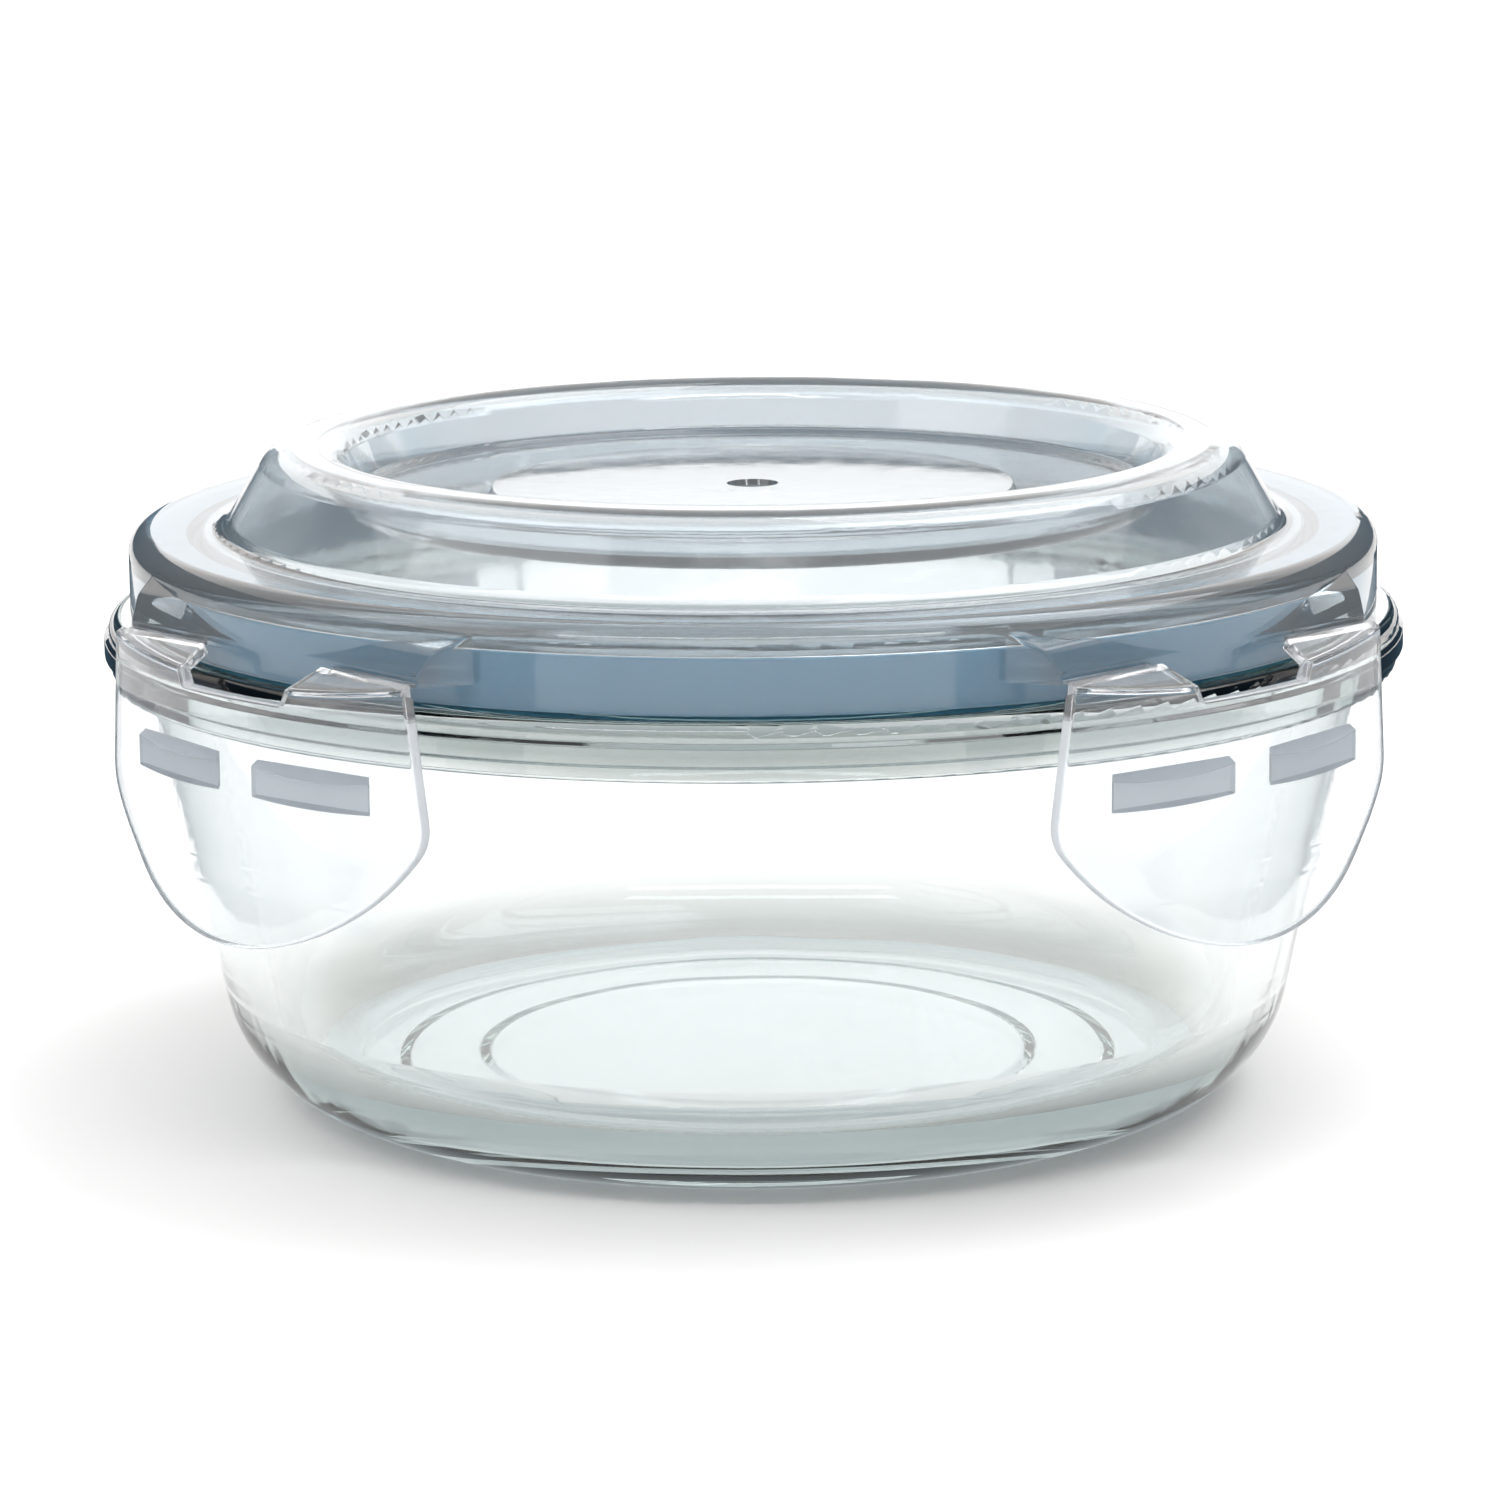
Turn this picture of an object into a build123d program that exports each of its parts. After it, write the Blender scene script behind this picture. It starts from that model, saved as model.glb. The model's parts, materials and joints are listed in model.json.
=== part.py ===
from build123d import *
import os
from math import asin, atan, cos, degrees, sin, sqrt

# A round food container: a thick pressed-glass bowl, a clear plastic lid with a silicone gasket in its
# channel, and four curved latches that swing on living hinges moulded at the lid's edge.
# Origin: centre of the foot, +Z up. The latches sit on the diagonals, so -Y is the plain front.
# All lengths are millimetres.

# Bowl
FOOT_R = 42.7            # outer radius of the flat the bowl stands on
CORNER_R = 13.8          # outside corner between foot and wall
WALL_TAPER = 0.21        # wall leans out this much per unit of height
WALL_T = 5.2             # glass thickness
FLOOR_T = 5.0
INNER_CORNER_R = 9.5
RECESS_R = 37.0          # shallow recess under the base, in two steps
RECESS_INNER_R = 28.5
RECESS_STEP = 0.5        # depth of each step
RECESS_FLANK = 1.2       # width of each step's slanted flank
BEAD_FLANK = 0.35        # height of the bead's slanted flanks
COLLAR_Z = 45.8          # underside of the collar that the latches hook under
COLLAR_R = 67.2
RIM_R = 67.9             # largest radius of the rim, on the bead that the mould's parting line leaves
BEAD_LOW_Z = 47.6
BEAD_HIGH_Z = 49.3
RIM_TOP_R = 67.4
RIM_TOP_CORNER_R = 1.3
RIM_Z = 51.5             # top of the glass

# Lid
SKIRT_R = 65.1
SKIRT_T = 1.2
SKIRT_Z = 51.8           # bottom edge of the skirt
FLANGE_Z = 60.4
FLANGE_EDGE_R = 2.3
CHANNEL_Z = 57.4         # roof of the gasket channel
LID_T = 1.4
SLOPE_FOOT_R = 55.3
RING_OUTER_R = 50.2      # crest of the stacking ring, outer and inner corners
RING_INNER_R = 43.4
RING_Z = 68.7
WELL_R = 41.2
WELL_Z = 62.9
DISC_R = 27.2
DISC_Z = 63.75
GATE_R = 2.4
GATE_DEPTH = 0.6
DISC_FLANK = 0.6         # width of the disc's slanted edge
GATE_FLANK = 0.3         # width of the dimple's
DISC_ROOT = 0.5          # the disc is rooted this deep in the well's floor
PLUG_R = 58.7            # inner wall of the channel, which centres the lid in the bowl's mouth
PLUG_T = 1.2
PLUG_Z = 50.4

# Gasket
GASKET_Z = 51.6
GASKET_CLEARANCE = 0.05

# Hinge tabs on the lid, and the latches. In a latch's own plane u points outwards from the
# container's axis, s runs along the hinge and z is up.
HINGE_U = 65.4           # hinge axis, from the container's axis
HINGE_Z = 54.2
FILM_T = 0.5
FILM_HALF_GAP = 0.5      # the film bridges this much each side of the axis
LATCH_HALF_W = 22.0      # half the hinge's length
WINDOW_HALF_TOP = 9.6
WINDOW_HALF_BOTTOM = 7.4
WINDOW_H = 3.1
TAB_FOOT_S = 26.0        # where the tab's angled ends meet the skirt
TAB_FOOT_U = 58.0
TAB_Z = 54.0             # flat underside of the tab
TAB_SHOULDER_Z = 59.4    # the tab's top leaves the flange's rounded edge here
TAB_BEND_U = 63.4        # and bends down to the hinge here
TAB_BEND_Z = 57.4
TAB_BEND_R = 1.6
TAB_FACE_Z = 55.0
TAB_EDGE_R = 0.4
LATCH_T = 1.4
LATCH_R = 70.4           # outer radius of the curved plate
LATCH_BELLY_HALF_W = 23.9
LATCH_BELLY_H = 15.0
LATCH_H = 27.8
LATCH_CORNER_R = 5.0
CUT_REACH = 5.0          # cutting and limiting shapes run this far past the latch
DECK_SLOPE = 0.45        # the deck falls this much per unit outwards, from the hinge to the plate
DECK_T = 1.2
EDGE_R = 0.35            # rounding of the plate's edges
LIP_Z = 33.0             # the grip lip flares out below here
LIP_FLARE = 1.3
LIP_BEND_R = 14.0
HOOK_R = 68.15           # flat inner faces of the hook bars at rest, just clear of the rim
HOOK_GAP = 2.6           # between the two bars of a latch
HOOK_LENGTH = 17.2       # of one bar, at the plate
HOOK_END_CHAMFER = 1.5   # a bar is this much shorter at each end of its inner face
HOOK_TOP_Z = 45.0
HOOK_FRONT_TOP_Z = 42.7
HOOK_BOTTOM_Z = 40.7
HOOK_UNDERCUT = 0.9      # the underside rises this much towards the inner face

CORNERS = {"front_left": 225, "front_right": 315, "rear_right": 45, "rear_left": 135}


def turned_solid(points, radii=0.0):
    """Turns a closed outline of (radius, height) points about the container's axis."""
    outline = FilletPolyline(*points, radius=radii, close=True) if radii else Polyline(*points, close=True)
    return revolve(Plane.XZ * make_face(outline), Axis.Z)


def u_section(points, half_width, radii=0.0):
    """Extrudes a closed (u, z) outline to both sides along the hinge direction."""
    outline = FilletPolyline(*points, radius=radii, close=True) if radii else Polyline(*points, close=True)
    return extrude(Plane.XZ * make_face(outline), half_width, both=True)


def wall_radius(z):
    """Outer radius of the bowl's tapered wall at height z."""
    lean = atan(WALL_TAPER)
    tangent_r = FOOT_R + CORNER_R * cos(lean)
    tangent_z = CORNER_R * (1 - sin(lean))
    return tangent_r + WALL_TAPER * (z - tangent_z)


def inner_wall_radius(z):
    return wall_radius(z) - WALL_T / cos(atan(WALL_TAPER))


def glass_bowl():
    points = [
        (0, 2 * RECESS_STEP), (RECESS_INNER_R, 2 * RECESS_STEP), (RECESS_INNER_R + RECESS_FLANK, RECESS_STEP),
        (RECESS_R, RECESS_STEP), (RECESS_R + RECESS_FLANK, 0),
        (wall_radius(0), 0), (wall_radius(COLLAR_Z), COLLAR_Z),
        (COLLAR_R, COLLAR_Z), (COLLAR_R, BEAD_LOW_Z - BEAD_FLANK), (RIM_R, BEAD_LOW_Z),
        (RIM_R, BEAD_HIGH_Z), (RIM_TOP_R, BEAD_HIGH_Z + BEAD_FLANK), (RIM_TOP_R, RIM_Z),
        (inner_wall_radius(RIM_Z), RIM_Z),
        (inner_wall_radius(FLOOR_T), FLOOR_T), (0, FLOOR_T),
    ]
    radii = [0, 1.0, 1.0, 1.0, 0.6, CORNER_R, 0.8, 0.4, 0.2, 0.2, 0.2, 0.15, RIM_TOP_CORNER_R, 0.8,
             INNER_CORNER_R, 0]
    return turned_solid(points, radii)


def lid_shell():
    """The turned part of the lid: well, stacking ring, flange, skirt and the gasket channel."""
    slope = (FLANGE_Z - RING_Z) / (SLOPE_FOOT_R - RING_OUTER_R)
    drop = LID_T * sqrt(1 + slope * slope)
    rise = (RING_Z - WELL_Z) / (RING_INNER_R - WELL_R)
    shift = LID_T * sqrt(1 + 1 / (rise * rise))
    under_flange = FLANGE_Z - LID_T
    under_ring = RING_Z - LID_T
    under_well = WELL_Z - LID_T
    foot_r = SLOPE_FOOT_R - (drop - LID_T) / -slope
    crest_r = RING_OUTER_R - (drop - LID_T) / -slope
    crest_inner_r = WELL_R + shift + (under_ring - WELL_Z) / rise
    well_r = WELL_R + shift + (under_well - WELL_Z) / rise
    points = [
        (0, WELL_Z), (WELL_R, WELL_Z), (RING_INNER_R, RING_Z), (RING_OUTER_R, RING_Z),
        (SLOPE_FOOT_R, FLANGE_Z), (SKIRT_R, FLANGE_Z), (SKIRT_R, SKIRT_Z),
        (SKIRT_R - SKIRT_T, SKIRT_Z), (SKIRT_R - SKIRT_T, CHANNEL_Z), (PLUG_R, CHANNEL_Z),
        (PLUG_R, PLUG_Z), (PLUG_R - PLUG_T, PLUG_Z), (PLUG_R - PLUG_T, under_flange),
        (foot_r, under_flange), (crest_r, under_ring), (crest_inner_r, under_ring),
        (well_r, under_well), (0, under_well),
    ]
    radii = [0, 1.4, 3.0, 4.0, 2.0, FLANGE_EDGE_R, 0.25, 0.25, 0.4, 0.4, 0.3, 0.3, 0.3, 0.6, 2.6, 1.6, 1.8, 0]
    return turned_solid(points, radii)


def gate_disc():
    """The raised disc in the middle of the well, with the small dimple at its centre."""
    foot_r = DISC_R + DISC_FLANK
    root_z = WELL_Z - DISC_ROOT
    dimple_z = DISC_Z - GATE_DEPTH
    return turned_solid([(0, root_z), (foot_r, root_z), (foot_r, WELL_Z), (DISC_R, DISC_Z),
                         (GATE_R + GATE_FLANK, DISC_Z), (GATE_R, dimple_z), (0, dimple_z)])


def tab_section():
    """(u, z) outline of a tab: an S-curve from the flange's edge down to the hinge line."""
    face_u = HINGE_U - FILM_HALF_GAP
    return [(TAB_FOOT_U, TAB_Z), (TAB_FOOT_U, TAB_SHOULDER_Z), (TAB_BEND_U, TAB_BEND_Z),
            (face_u, TAB_FACE_Z), (face_u, TAB_Z)]


def lid_tab():
    """One hinge tab in the +X direction: fills the corners between the round skirt and the straight hinge."""
    face_u = HINGE_U - FILM_HALF_GAP
    section = u_section(tab_section(), TAB_FOOT_S, [0, 0, TAB_BEND_R, 0.5, 0])
    footprint = Polyline((TAB_FOOT_U, TAB_FOOT_S), (face_u, LATCH_HALF_W), (face_u, -LATCH_HALF_W),
                         (TAB_FOOT_U, -TAB_FOOT_S), close=True)
    block = section & extrude(Plane.XY.offset(TAB_Z) * make_face(footprint), FLANGE_Z - TAB_Z)
    ends = [e for e in block.edges() if abs(e.center().Y) > LATCH_HALF_W - 0.1 and e.center().Z > TAB_Z + 0.1]
    block = fillet(ends, TAB_EDGE_R)
    return block - Pos(0, 0, FLANGE_Z / 2) * Cylinder(SKIRT_R - SKIRT_T / 2, FLANGE_Z)


def lid_panel():
    panel = lid_shell() + gate_disc()
    for angle in CORNERS.values():
        panel = panel + Rot(0, 0, angle) * lid_tab()
    return panel


def gasket():
    inner, outer = PLUG_R + GASKET_CLEARANCE, SKIRT_R - SKIRT_T - GASKET_CLEARANCE
    top = CHANNEL_Z - GASKET_CLEARANCE
    return turned_solid([(inner + 0.9, GASKET_Z), (outer, GASKET_Z), (outer, top), (inner, top),
                         (inner, GASKET_Z + 0.9)], 0.35)


def latch_outline():
    """The shield-shaped outline of a latch in its (s, depth below the hinge) plane, as a face."""
    half, belly, depth = LATCH_HALF_W, LATCH_BELLY_HALF_W, LATCH_BELLY_H
    edges = [
        Line((-half, 1), (half, 1)),
        Line((half, 1), (belly, -depth)),
        ThreePointArc((belly, -depth), (0, -LATCH_H), (-belly, -depth)),
        Line((-belly, -depth), (-half, 1)),
    ]
    face = make_face(edges)
    corners = [v for v in face.vertices() if abs(v.Y + depth) < 0.01]
    return fillet(corners, LATCH_CORNER_R)


def latch_prism(face):
    """Extrudes a face drawn in the latch's (s, depth) plane outwards, through the whole latch."""
    plane = Plane(origin=(HINGE_U - CUT_REACH, 0, HINGE_Z), x_dir=(0, 1, 0), z_dir=(1, 0, 0))
    return extrude(plane * face, LATCH_R + LIP_FLARE - HINGE_U + 2 * CUT_REACH)


def latch_plate():
    """The curved plate with its sloping deck at the hinge and its flared grip lip, edges rounded."""
    start_u = HINGE_U + FILM_HALF_GAP
    top_z = HINGE_Z + FILM_T / 2
    low_z = HINGE_Z - LATCH_H - 1
    inner_r = LATCH_R - LATCH_T
    far_u = LATCH_R + CUT_REACH
    far_z = top_z - DECK_SLOPE * (far_u - start_u)
    plate = turned_solid([
        (LATCH_R, top_z), (LATCH_R, LIP_Z), (LATCH_R + LIP_FLARE, low_z),
        (LATCH_R + LIP_FLARE - LATCH_T, low_z), (inner_r, LIP_Z), (inner_r, top_z),
    ], [0, LIP_BEND_R, 0, 0, LIP_BEND_R, 0])
    under_deck = u_section([
        (start_u, top_z), (far_u, far_z), (far_u, 0), (start_u - CUT_REACH, 0),
        (start_u - CUT_REACH, top_z - CUT_REACH), (start_u, top_z - DECK_T),
    ], LATCH_BELLY_HALF_W + 1)
    deck = u_section([(start_u, top_z), (far_u, far_z), (far_u, far_z - DECK_T), (start_u, top_z - DECK_T)],
                     LATCH_BELLY_HALF_W + 1)
    window = Polyline((-WINDOW_HALF_TOP, 2), (WINDOW_HALF_TOP, 2), (WINDOW_HALF_BOTTOM, -WINDOW_H),
                      (-WINDOW_HALF_BOTTOM, -WINDOW_H), close=True)
    blank = (plate & under_deck) + (deck & Cylinder(LATCH_R, 4 * FLANGE_Z))
    blank = blank & latch_prism(latch_outline()) - latch_prism(make_face(window))
    rim_edges = [e for e in blank.edges() if e.length > 1.2 and e.center().X > start_u + 0.1]
    return fillet(rim_edges, EDGE_R)


def hook_bars():
    """Two straight bars inside the plate, with sloping tops and slanted ends, that snap under the collar."""
    root_r = LATCH_R - LATCH_T / 2
    root_half = HOOK_LENGTH / 2
    face_half = root_half - HOOK_END_CHAMFER
    section = u_section([(root_r, HOOK_BOTTOM_Z), (HOOK_R, HOOK_BOTTOM_Z + HOOK_UNDERCUT),
                         (HOOK_R, HOOK_TOP_Z), (root_r, HOOK_FRONT_TOP_Z)], root_half)
    footprint = Polyline((HOOK_R, -face_half), (root_r, -root_half), (root_r, root_half),
                         (HOOK_R, face_half), close=True)
    bar = section & extrude(make_face(footprint), FLANGE_Z)
    turn = degrees(asin((HOOK_GAP + HOOK_LENGTH) / 2 / HOOK_R))
    return [Rot(0, 0, side * turn) * bar for side in (-1, 1)]


def latch():
    """One latch in the +X direction, hanging at rest with its hooks just clear of the rim."""
    left_bar, right_bar = hook_bars()
    return latch_plate() + left_bar + right_bar


def hinge_film(side):
    """One of the two thin strips that a latch swings on, bridging the tab and the latch."""
    length = LATCH_HALF_W - WINDOW_HALF_TOP - 0.4
    middle = side * (WINDOW_HALF_TOP + 0.2 + length / 2)
    return Pos(HINGE_U, middle, HINGE_Z) * Box(2 * FILM_HALF_GAP, length, FILM_T)


parts = {"glass_bowl": glass_bowl(), "lid_panel": lid_panel(), "gasket": gasket()}
for corner, angle in CORNERS.items():
    parts[f"latch_{corner}"] = Rot(0, 0, angle) * latch()
    parts[f"hinge_film_{corner}_a"] = Rot(0, 0, angle) * hinge_film(-1)
    parts[f"hinge_film_{corner}_b"] = Rot(0, 0, angle) * hinge_film(1)

os.makedirs("parts", exist_ok=True)
for name, solid in parts.items():
    export_step(solid, f"parts/{name}.step")
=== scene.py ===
"""A round glass storage container with a clear clip-down lid, as a studio product picture."""

import json
import math

import bmesh
import bpy
from mathutils import Matrix, Vector

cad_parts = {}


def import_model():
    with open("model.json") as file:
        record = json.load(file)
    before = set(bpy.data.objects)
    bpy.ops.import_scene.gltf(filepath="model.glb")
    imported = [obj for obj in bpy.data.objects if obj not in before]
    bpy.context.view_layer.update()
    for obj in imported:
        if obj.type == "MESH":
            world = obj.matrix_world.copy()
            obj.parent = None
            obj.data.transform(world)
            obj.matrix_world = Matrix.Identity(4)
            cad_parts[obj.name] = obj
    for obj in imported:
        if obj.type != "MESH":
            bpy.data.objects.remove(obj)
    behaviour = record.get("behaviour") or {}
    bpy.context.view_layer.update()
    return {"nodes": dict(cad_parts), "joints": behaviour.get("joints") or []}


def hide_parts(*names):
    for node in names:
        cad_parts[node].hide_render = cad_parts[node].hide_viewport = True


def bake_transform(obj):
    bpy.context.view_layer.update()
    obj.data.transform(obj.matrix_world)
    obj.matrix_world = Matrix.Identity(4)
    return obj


# Camera: where it stands round the object, and how it frames it
VIEW_AZIMUTH = 1.4           # degrees
VIEW_PITCH = 11.7            # degrees below the horizontal
VIEW_ROLL = -0.5             # degrees
VIEW_DISTANCE = 0.584        # metres from the aim point
VIEW_LENS = 132.6            # millimetres
SENSOR_WIDTH = 36            # millimetres
AIM_HEIGHT = 0.0352          # aim point's height on the container's axis
AIM_SIDE = -0.0005           # and how far it sits beside the axis

# Stage
FLOOR_RADIUS = 8.0
FLOOR_GAP = 0.0002           # the floor lies this far below the foot
FLOOR_GLOW = 0.02            # a little light from below, as on a light table
WORLD_STRENGTH = 1.70

# Flags: the cards beside the lid and the bowl that give them slate reflections
FLAG_X = 0.095
FLAG_Y = 0.02
FLAG_LENGTH = 0.36
FLAG_LOW = (0.0, 0.040)      # bottom and top of a low flag
FLAG_HIGH = (0.057, 0.100)
FLAG_COLOUR = (0.05, 0.09, 0.13)

# The lit disc under the foot
PAD_RADIUS = 0.050
PAD_COLOUR = (0.52, 0.57, 0.59)

# Glass: the solid collar, and the thick corner between the wall and the floor, are a grey green, deepened
# with painted shade
COLLAR_BOTTOM_Z = 0.0452
COLLAR_TOP_Z = 0.0495        # the rim's top is clear again
COLLAR_FADE = 0.002          # the tint comes in and goes out over this height
CORNER_Z = 0.006
CORNER_FADE = 0.005
CORNER_R = 0.044             # the floor inside this radius has no tint
CORNER_FADE_R = 0.006
CLEAR = (1.0, 1.0, 1.0)
# Painted shade on top of the thick glass's own green: these tints darken the collar and the corner
COLLAR_GREEN_AND_SHADE = (0.44, 0.48, 0.47)
CORNER_GREEN_AND_SHADE = (0.74, 0.775, 0.76)

# Latches: places measured from the container's axis and its foot, and the tints of their parts
BAR_OUTER_R = 0.06895        # the hook bars lie inside this radius, and the plate outside it
BAR_OUTER_FADE = 0.00004
BAR_TOP_Z = 0.046
BAR_TOP_FADE = 0.0003
DECK_FOOT_Z = 0.0505         # the frosted edges end here, below the clear deck
DECK_FOOT_FADE = 0.001
FACE_COSINE = 0.93           # of a normal's angle to the radial direction: a broad face is above this
EDGE_COSINE = 0.75           # and an edge is below this
PLATE_TINT = (0.94, 0.955, 0.97)
EDGE_TINT = (0.80, 0.84, 0.88)
BAR_TINT = (0.68, 0.74, 0.80)

# The colour sockets of a Mix node, which share their names with its other kinds
MIX_FIRST, MIX_SECOND, MIX_RESULT = 6, 7, 2

# Living hinges
FILM_WAIST = 0.55            # thickness in the middle, as a share of the thickness at the edges
FILM_STEPS = 16


def principled(name, **values):
    """A new material whose Principled shader has these plain socket values."""
    material = bpy.data.materials.new(name)
    material.use_nodes = True
    shader = material.node_tree.nodes["Principled BSDF"]
    for socket, value in values.items():
        shader.inputs[socket.replace("_", " ")].default_value = value
    return material, shader


def map_range(owner, value, source, target):
    """
    Maps a value from one range to another, and holds it at the ends.

    The owner, here and below, is a material or the world.
    """
    nodes, links = owner.node_tree.nodes, owner.node_tree.links
    spread = nodes.new("ShaderNodeMapRange")
    for socket, number in zip(("From Min", "From Max", "To Min", "To Max"), (*source, *target)):
        spread.inputs[socket].default_value = number
    links.new(value, spread.inputs["Value"])
    return spread.outputs["Result"]


def height_and_radius(material):
    """The height of a point on a piece, and how far it is from the container's axis."""
    nodes, links = material.node_tree.nodes, material.node_tree.links
    place = nodes.new("ShaderNodeTexCoord")
    split = nodes.new("ShaderNodeSeparateXYZ")
    flat = nodes.new("ShaderNodeVectorMath")
    flat.operation = "MULTIPLY"
    flat.inputs[1].default_value = (1, 1, 0)
    radius = nodes.new("ShaderNodeVectorMath")
    radius.operation = "LENGTH"
    links.new(place.outputs["Object"], split.inputs[0])
    links.new(place.outputs["Object"], flat.inputs[0])
    links.new(flat.outputs["Vector"], radius.inputs[0])
    return split.outputs["Z"], radius.outputs["Value"]


def colour_between(owner, factor, first, second, mode="MIX"):
    """
    Two colours mixed: in the mode MIX, it goes from the first to the second as the factor rises to 1.

    The factor is a number or a node's output, and each colour is three numbers or a node's output.
    """
    nodes, links = owner.node_tree.nodes, owner.node_tree.links
    mix = nodes.new("ShaderNodeMix")
    mix.data_type = "RGBA"
    mix.blend_type = mode
    if isinstance(factor, float):
        mix.inputs["Factor"].default_value = factor
    else:
        links.new(factor, mix.inputs["Factor"])
    for socket, colour in ((mix.inputs[MIX_FIRST], first), (mix.inputs[MIX_SECOND], second)):
        if isinstance(colour, tuple):
            socket.default_value = (*colour, 1)
        else:
            links.new(colour, socket)
    return mix.outputs[MIX_RESULT]


def step_below(material, value, limit, softness):
    """1 where a value is below the limit, falling to 0 over the softness above it."""
    return map_range(material, value, source=(limit + softness, limit), target=(0, 1))


def combine(material, operation, first, second):
    """One math operation on two nodes' outputs."""
    nodes, links = material.node_tree.nodes, material.node_tree.links
    both = nodes.new("ShaderNodeMath")
    both.operation = operation
    links.new(first, both.inputs[0])
    links.new(second, both.inputs[1])
    return both.outputs["Value"]


def add_noise(material, scale, detail):
    """Noise in the object's own space, in features per metre."""
    nodes, links = material.node_tree.nodes, material.node_tree.links
    place = nodes.new("ShaderNodeTexCoord")
    noise = nodes.new("ShaderNodeTexNoise")
    noise.inputs["Scale"].default_value = scale
    noise.inputs["Detail"].default_value = detail
    links.new(place.outputs["Object"], noise.inputs["Vector"])
    return noise


def add_bump(material, shader, noise, depth, strength):
    """Lets a noise raise the surface by about depth metres."""
    nodes, links = material.node_tree.nodes, material.node_tree.links
    bump = nodes.new("ShaderNodeBump")
    bump.inputs["Distance"].default_value = depth
    bump.inputs["Strength"].default_value = strength
    links.new(noise.outputs["Fac"], bump.inputs["Height"])
    links.new(bump.outputs["Normal"], shader.inputs["Normal"])


def vary_roughness(material, shader, noise, low, high):
    """Spreads the roughness between low and high with a noise, whose values mostly lie in 0.3 to 0.7."""
    roughness = map_range(material, noise.outputs["Fac"], source=(0.3, 0.7), target=(low, high))
    material.node_tree.links.new(roughness, shader.inputs["Roughness"])


def add_absorption(material, colour, density):
    """Tints the inside of a clear material by its depth. Density is per metre."""
    nodes, links = material.node_tree.nodes, material.node_tree.links
    inside = nodes.new("ShaderNodeVolumeAbsorption")
    inside.inputs["Color"].default_value = (*colour, 1)
    inside.inputs["Density"].default_value = density
    links.new(inside.outputs["Volume"], nodes["Material Output"].inputs["Volume"])


def bowl_glass():
    """Thick pressed soda-lime glass, faintly wavy from the mould; its collar and thick corner are grey green,
    deepened with painted shade.
    """
    material, shader = principled("bowl_glass_clear", Transmission_Weight=1.0, IOR=1.5)
    height, radius = height_and_radius(material)
    under_collar = step_below(material, height, COLLAR_BOTTOM_Z, COLLAR_FADE)
    under_rim = step_below(material, height, COLLAR_TOP_Z, COLLAR_FADE)
    collar = combine(material, "SUBTRACT", under_rim, under_collar)
    low = step_below(material, height, CORNER_Z, CORNER_FADE)
    on_floor = step_below(material, radius, CORNER_R, CORNER_FADE_R)
    corner = combine(material, "SUBTRACT", low, combine(material, "MULTIPLY", low, on_floor))
    # The corner and collar tints: the thick glass's grey green, darkened further with painted shade
    tint = colour_between(material, corner, CLEAR, CORNER_GREEN_AND_SHADE)
    tint = colour_between(material, collar, tint, COLLAR_GREEN_AND_SHADE)
    material.node_tree.links.new(tint, shader.inputs["Base Color"])
    waves = add_noise(material, scale=60, detail=1)
    add_bump(material, shader, waves, depth=0.0002, strength=0.25)
    vary_roughness(material, shader, waves, low=0.0, high=0.01)
    add_absorption(material, colour=(0.40, 0.58, 0.54), density=16.0)
    return material


def orange_peel(material, shader):
    """The faint unevenness of a moulded plastic's surface."""
    peel = add_noise(material, scale=350, detail=2)
    add_bump(material, shader, peel, depth=0.00003, strength=0.3)
    return peel


def lid_plastic():
    """Injection-moulded polypropylene: clear, slate blue in depth, glossy, with a faint orange peel."""
    material, shader = principled("lid_clear_plastic", Base_Color=(0.90, 0.93, 0.95, 1),
                                  Transmission_Weight=0.92, IOR=1.49)
    peel = orange_peel(material, shader)
    vary_roughness(material, shader, peel, low=0.03, high=0.09)
    add_absorption(material, colour=(0.32, 0.42, 0.47), density=165.0)
    return material


def edge_mask(material):
    """1 on the cut edges, ends and tops of an upright curved plate, 0 on its two broad faces."""
    nodes, links = material.node_tree.nodes, material.node_tree.links
    place = nodes.new("ShaderNodeTexCoord")
    flat = nodes.new("ShaderNodeVectorMath")
    flat.operation = "MULTIPLY"
    flat.inputs[1].default_value = (1, 1, 0)
    outwards = nodes.new("ShaderNodeVectorMath")
    outwards.operation = "NORMALIZE"
    facing = nodes.new("ShaderNodeVectorMath")
    facing.operation = "DOT_PRODUCT"
    size = nodes.new("ShaderNodeMath")
    size.operation = "ABSOLUTE"
    mask = nodes.new("ShaderNodeMapRange")
    mask.interpolation_type = "SMOOTHSTEP"
    mask.inputs["From Min"].default_value = FACE_COSINE
    mask.inputs["From Max"].default_value = EDGE_COSINE
    links.new(place.outputs["Object"], flat.inputs[0])
    links.new(flat.outputs["Vector"], outwards.inputs[0])
    links.new(outwards.outputs["Vector"], facing.inputs[0])
    links.new(place.outputs["Normal"], facing.inputs[1])
    links.new(facing.outputs["Value"], size.inputs[0])
    links.new(size.outputs["Value"], mask.inputs["Value"])
    return mask.outputs["Result"]


def bar_mask(material):
    """1 on the hook bars, which stand inside the plate and below its deck."""
    height, radius = height_and_radius(material)
    inside = step_below(material, radius, BAR_OUTER_R, BAR_OUTER_FADE)
    low = step_below(material, height, BAR_TOP_Z, BAR_TOP_FADE)
    return combine(material, "MULTIPLY", inside, low)


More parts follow.
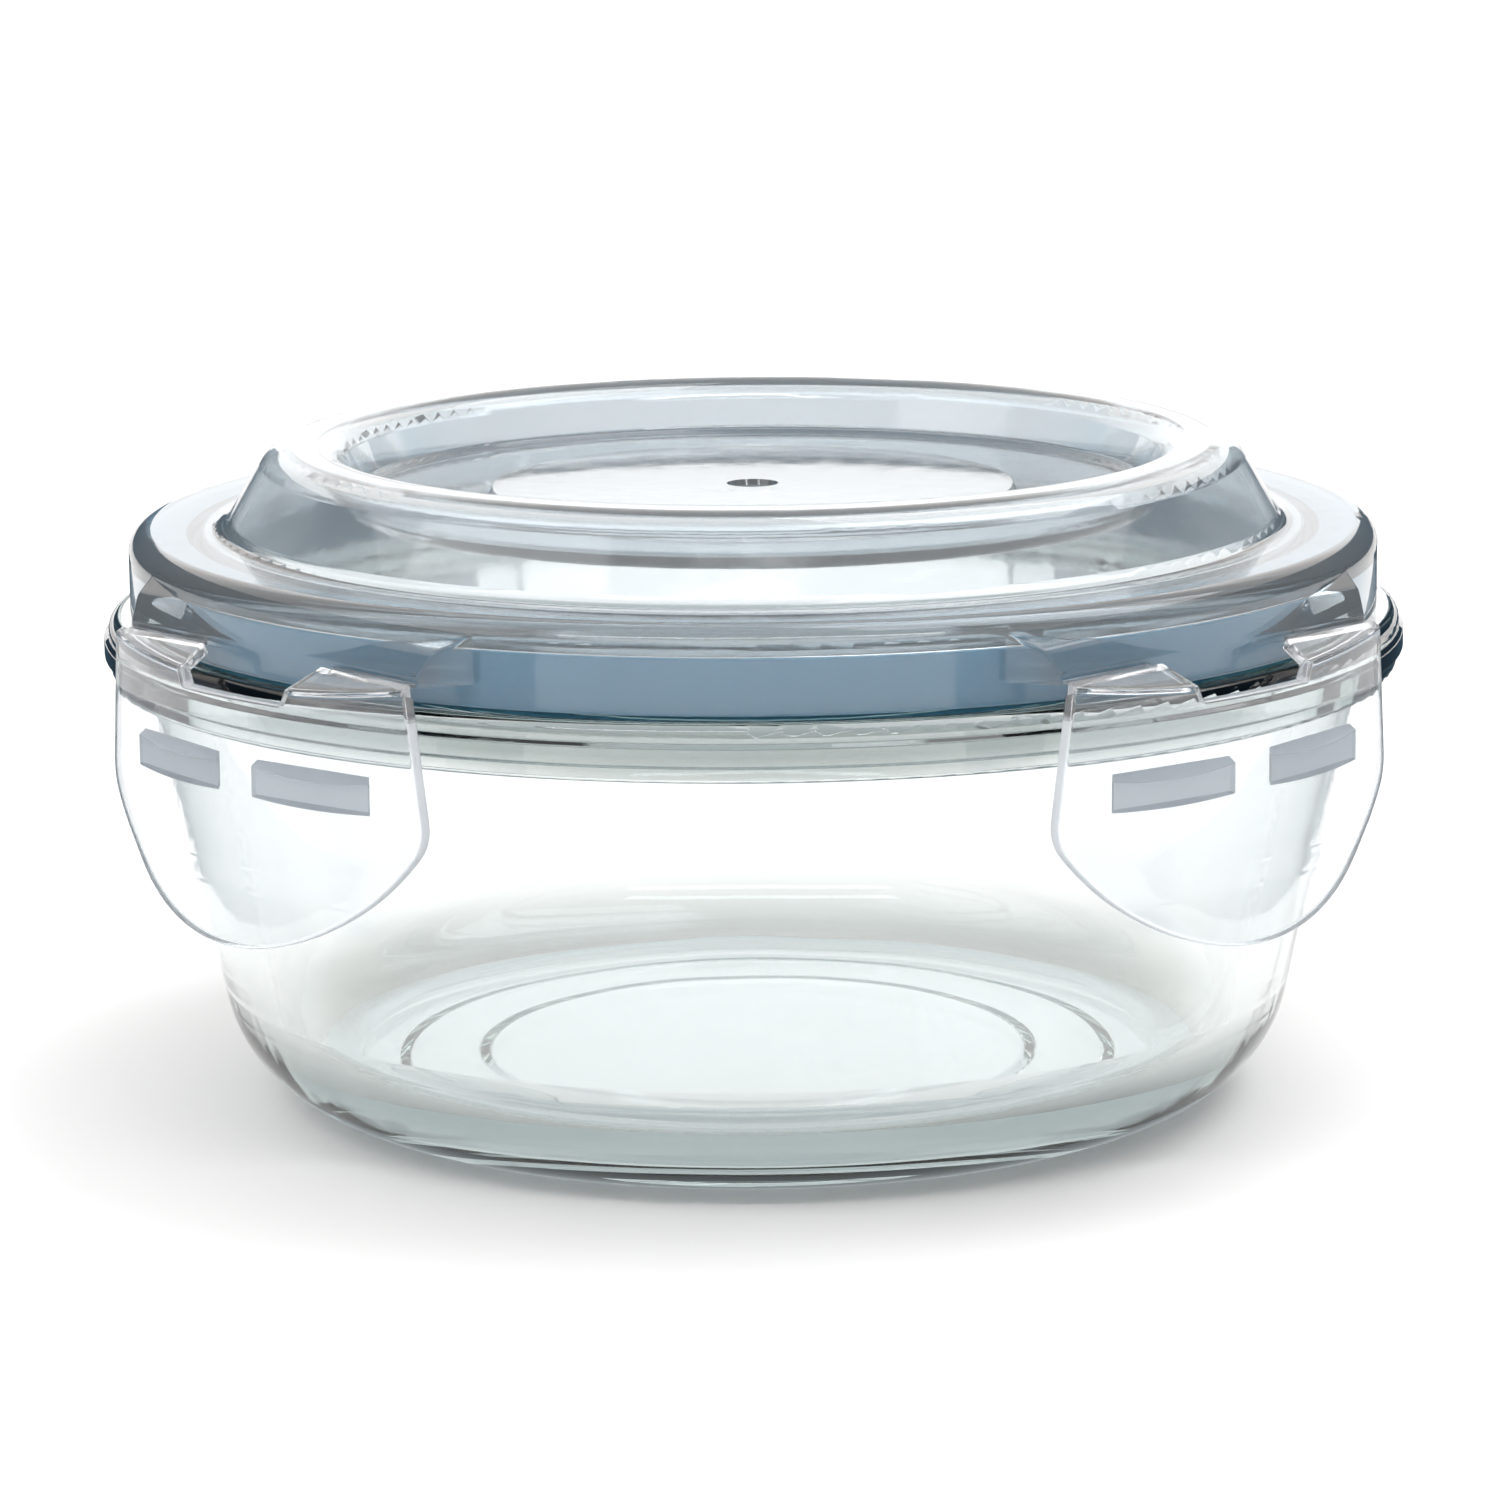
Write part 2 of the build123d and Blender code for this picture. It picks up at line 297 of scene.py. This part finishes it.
def latch_plastic():
    """The lid's plastic, thinner and clearer, with edges and hook bars that scatter light."""
    material, shader = principled("latch_clear_plastic", IOR=1.49)
    links = material.node_tree.links
    height, _ = height_and_radius(material)
    under_deck = step_below(material, height, DECK_FOOT_Z, DECK_FOOT_FADE)
    edges = combine(material, "MULTIPLY", edge_mask(material), under_deck)
    bars = bar_mask(material)
    frosted = combine(material, "MAXIMUM", edges, bars)
    tint = colour_between(material, edges, PLATE_TINT, EDGE_TINT)
    tint = colour_between(material, bars, tint, BAR_TINT)
    links.new(tint, shader.inputs["Base Color"])
    clarity = map_range(material, frosted, source=(0, 1), target=(0.95, 0.35))
    links.new(clarity, shader.inputs["Transmission Weight"])
    roughness = map_range(material, frosted, source=(0, 1), target=(0.05, 0.40))
    links.new(roughness, shader.inputs["Roughness"])
    orange_peel(material, shader)
    add_absorption(material, colour=(0.70, 0.74, 0.77), density=5.0)
    return material


def gasket_silicone():
    """Blue silicone rubber with a satin surface."""
    material, shader = principled("gasket_blue_silicone", Base_Color=(0.10, 0.40, 0.62, 1), IOR=1.42)
    grain = add_noise(material, scale=900, detail=3)
    add_bump(material, shader, grain, depth=0.00004, strength=0.4)
    vary_roughness(material, shader, grain, low=0.38, high=0.52)
    return material


def give(piece, material):
    """Puts one material on a whole piece."""
    piece.data.materials.clear()
    piece.data.materials.append(material)


def film_mesh(name, span, half_width, half_thickness):
    """A strip along +X, with its hinge line along X: thinnest at the hinge line and full at its two edges."""
    mesh = bmesh.new()
    rings = []
    for step in range(FILM_STEPS + 1):
        across = -1 + 2 * step / FILM_STEPS
        half = half_thickness * (FILM_WAIST + (1 - FILM_WAIST) * across * across)
        corners = [(0, half), (span, half), (span, -half), (0, -half)]
        rings.append([mesh.verts.new((x, across * half_width, z)) for x, z in corners])
    for before, after in zip(rings, rings[1:]):
        for k in range(4):
            mesh.faces.new((before[k], before[(k + 1) % 4], after[(k + 1) % 4], after[k]))
    mesh.faces.new(reversed(rings[0]))
    mesh.faces.new(rings[-1])
    bmesh.ops.recalc_face_normals(mesh, faces=mesh.faces)
    data = bpy.data.meshes.new(name)
    mesh.to_mesh(data)
    mesh.free()
    return data


def hinge_film(node, joint, material):
    """Replaces a CAD hinge film by a finer one, thinnest at its hinge line, between the lid and its latch."""
    along = Vector(joint["axis"]).normalized()
    up = Vector((0, 0, 1))
    outwards = up.cross(along)
    if outwards.dot(Vector(joint["pos_m"])) < 0:
        outwards.negate()
    points = [v.co for v in frame["nodes"][node].data.vertices]
    low, high = [[pick(p.dot(way) for p in points) for way in (along, outwards, up)] for pick in (min, max)]
    half_width = (high[1] - low[1]) / 2
    half_thickness = (high[2] - low[2]) / 2
    film = bpy.data.objects.new(f"{node}_bend", film_mesh(node, high[0] - low[0], half_width, half_thickness))
    bpy.context.scene.collection.objects.link(film)
    middle = along * low[0] + outwards * (low[1] + half_width) + up * (low[2] + half_thickness)
    turn = Matrix((along, up.cross(along), up)).transposed()
    film.matrix_world = Matrix.Translation(middle) @ turn.to_4x4()
    give(film, material)
    bpy.context.view_layer.update()
    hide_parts(node)
    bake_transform(film)


def floor():
    """A wide white floor, faintly lit from below."""
    bpy.ops.mesh.primitive_circle_add(vertices=128, radius=FLOOR_RADIUS, fill_type="NGON",
                                      location=(0, 0, -FLOOR_GAP))
    disc = bpy.context.object
    disc.name = "floor"
    material, shader = principled("floor_white", Base_Color=(0.86, 0.86, 0.86, 1), Roughness=0.9)
    shader.inputs["Specular IOR Level"].default_value = 0.0
    shader.inputs["Emission Color"].default_value = (1, 1, 1, 1)
    shader.inputs["Emission Strength"].default_value = FLOOR_GLOW
    give(disc, material)


def ramp_over(sky, value, stops):
    """A colour ramp over one part of the direction, from -1 to 1."""
    ramp = sky.node_tree.nodes.new("ShaderNodeValToRGB")
    share = map_range(sky, value, source=(-1, 1), target=(0, 1))
    sky.node_tree.links.new(share, ramp.inputs["Fac"])
    marks = ramp.color_ramp.elements
    marks.remove(marks[1])
    for place, colour in stops:
        mark = marks.new((place + 1) / 2)
        mark.color = (*colour, 1)
    marks.remove(marks[0])
    return ramp.outputs["Color"]


def world():
    """
    A studio: a white wall behind, a dim slate room in front, a warm white ceiling, two blue cards.

    It lights the container and shows in it, and the camera itself sees plain white past the floor.
    """
    sky = bpy.data.worlds.new("studio")
    bpy.context.scene.world = sky
    sky.use_nodes = True
    nodes, links = sky.node_tree.nodes, sky.node_tree.links
    place = nodes.new("ShaderNodeTexCoord")
    split = nodes.new("ShaderNodeSeparateXYZ")
    links.new(place.outputs["Generated"], split.inputs[0])
    slate, grey, white = (0.11, 0.15, 0.19), (0.29, 0.31, 0.34), (1.0, 1.0, 1.0)
    beige = (0.42, 0.37, 0.32)
    warm, pale, cool = (0.78, 0.58, 0.45), (0.68, 0.66, 0.64), (0.62, 0.63, 0.64)
    walls = ramp_over(sky, split.outputs["Y"], [(-0.75, slate), (-0.35, beige), (0.10, grey), (0.55, white)])
    ceiling = ramp_over(sky, split.outputs["Z"], [(0.3, warm), (0.6, pale), (0.9, cool)])
    height = ramp_over(sky, split.outputs["Z"], [(0.25, (0, 0, 0)), (0.6, white)])
    card, clear = (0.18, 0.29, 0.42), white
    cards = ramp_over(sky, split.outputs["X"], [(-0.97, clear), (-0.90, card), (-0.82, card), (-0.76, clear),
                                                (0.76, clear), (0.82, card), (0.90, card), (0.97, clear)])
    room = colour_between(sky, 1.0, walls, cards, "MULTIPLY")
    surroundings = colour_between(sky, height, room, ceiling)
    seen = nodes.new("ShaderNodeLightPath")
    backdrop = colour_between(sky, seen.outputs["Is Camera Ray"], surroundings, white)
    links.new(backdrop, nodes["Background"].inputs["Color"])
    nodes["Background"].inputs["Strength"].default_value = WORLD_STRENGTH


def softbox(name, place, width, depth, power):
    """A large flat light that faces the container."""
    light = bpy.data.lights.new(name, "AREA")
    light.shape = "RECTANGLE"
    light.size = width
    light.size_y = depth
    light.energy = power
    lamp = bpy.data.objects.new(name, light)
    lamp.location = place
    lamp.rotation_mode = "QUATERNION"
    lamp.rotation_quaternion = (-Vector(place)).to_track_quat("-Z", "Y")
    bpy.context.scene.collection.objects.link(lamp)


def only_in_glass(card, name, colour, through):
    """Makes a stage card of one even colour that shows in reflections, and through the glass or not."""
    card.name = name
    material, shader = principled(name, Base_Color=(0, 0, 0, 1), Roughness=1.0)
    shader.inputs["Specular IOR Level"].default_value = 0.0
    shader.inputs["Emission Color"].default_value = (*colour, 1)
    shader.inputs["Emission Strength"].default_value = 1.0
    give(card, material)
    card.visible_camera = False
    card.visible_diffuse = False
    card.visible_shadow = False
    card.visible_transmission = through


def flag(name, side, bottom, top):
    """A slate-blue card beside the container, seen only in its reflections."""
    bpy.ops.mesh.primitive_plane_add(size=1, location=(side * FLAG_X, FLAG_Y, (bottom + top) / 2),
                                     rotation=(0, math.pi / 2, 0))
    card = bpy.context.object
    card.scale = (top - bottom, FLAG_LENGTH, 1)
    only_in_glass(card, name, FLAG_COLOUR, through=False)


def light_pad():
    """A lit disc under the foot, so that the glass doesn't show its own shadow."""
    bpy.ops.mesh.primitive_circle_add(vertices=96, radius=PAD_RADIUS, fill_type="NGON",
                                      location=(0, 0, -FLOOR_GAP / 2))
    only_in_glass(bpy.context.object, "light_pad", PAD_COLOUR, through=True)


def camera():
    """The camera, at the angle and distance named at the top."""
    data = bpy.data.cameras.new("camera")
    data.sensor_width = SENSOR_WIDTH
    data.lens = VIEW_LENS
    data.clip_end = 4 * FLOOR_RADIUS
    cam = bpy.data.objects.new("camera", data)
    azimuth, pitch = math.radians(VIEW_AZIMUTH), math.radians(VIEW_PITCH)
    right = Vector((math.cos(azimuth), math.sin(azimuth), 0))
    level = Vector((math.sin(azimuth), -math.cos(azimuth), 0))
    back = level * math.cos(pitch) + Vector((0, 0, math.sin(pitch)))
    aim = Vector((0, 0, AIM_HEIGHT)) + right * AIM_SIDE
    facing = (-back).to_track_quat("-Z", "Y").to_matrix()
    facing = facing @ Matrix.Rotation(math.radians(VIEW_ROLL), 3, "Z")
    cam.matrix_world = Matrix.Translation(aim + back * VIEW_DISTANCE) @ facing.to_4x4()
    bpy.context.scene.collection.objects.link(cam)
    bpy.context.scene.camera = cam


def view_settings():
    """Plain colours, and enough bounces for light to cross glass and plastic many times."""
    scene = bpy.context.scene
    scene.view_settings.view_transform = "Standard"
    scene.cycles.max_bounces = 32
    scene.cycles.transmission_bounces = 32
    scene.cycles.transparent_max_bounces = 16
    scene.cycles.glossy_bounces = 8
    scene.cycles.diffuse_bounces = 6


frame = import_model()

camera()
view_settings()
floor()
world()
light_pad()
for side_name, side in (("left", -1), ("right", 1)):
    flag(f"flag_low_{side_name}", side, *FLAG_LOW)
    flag(f"flag_high_{side_name}", side, *FLAG_HIGH)
softbox("key", place=(0.8, 0.3, 1.7), width=1.3, depth=1.3, power=15)
softbox("fill", place=(-1.2, -0.5, 1.3), width=1.2, depth=1.2, power=6)
softbox("strip", place=(0.0, -0.9, 1.1), width=1.5, depth=0.10, power=5)

latch_material = latch_plastic()
give(frame["nodes"]["glass_bowl"], bowl_glass())
give(frame["nodes"]["lid_panel"], lid_plastic())
give(frame["nodes"]["gasket"], gasket_silicone())

for joint in frame["joints"]:
    if joint["type"] == "hinge":
        corner = joint["child"].removeprefix("latch_")
        give(frame["nodes"][joint["child"]], latch_material)
        for end in ("a", "b"):
            hinge_film(f"hinge_film_{corner}_{end}", joint, latch_material)
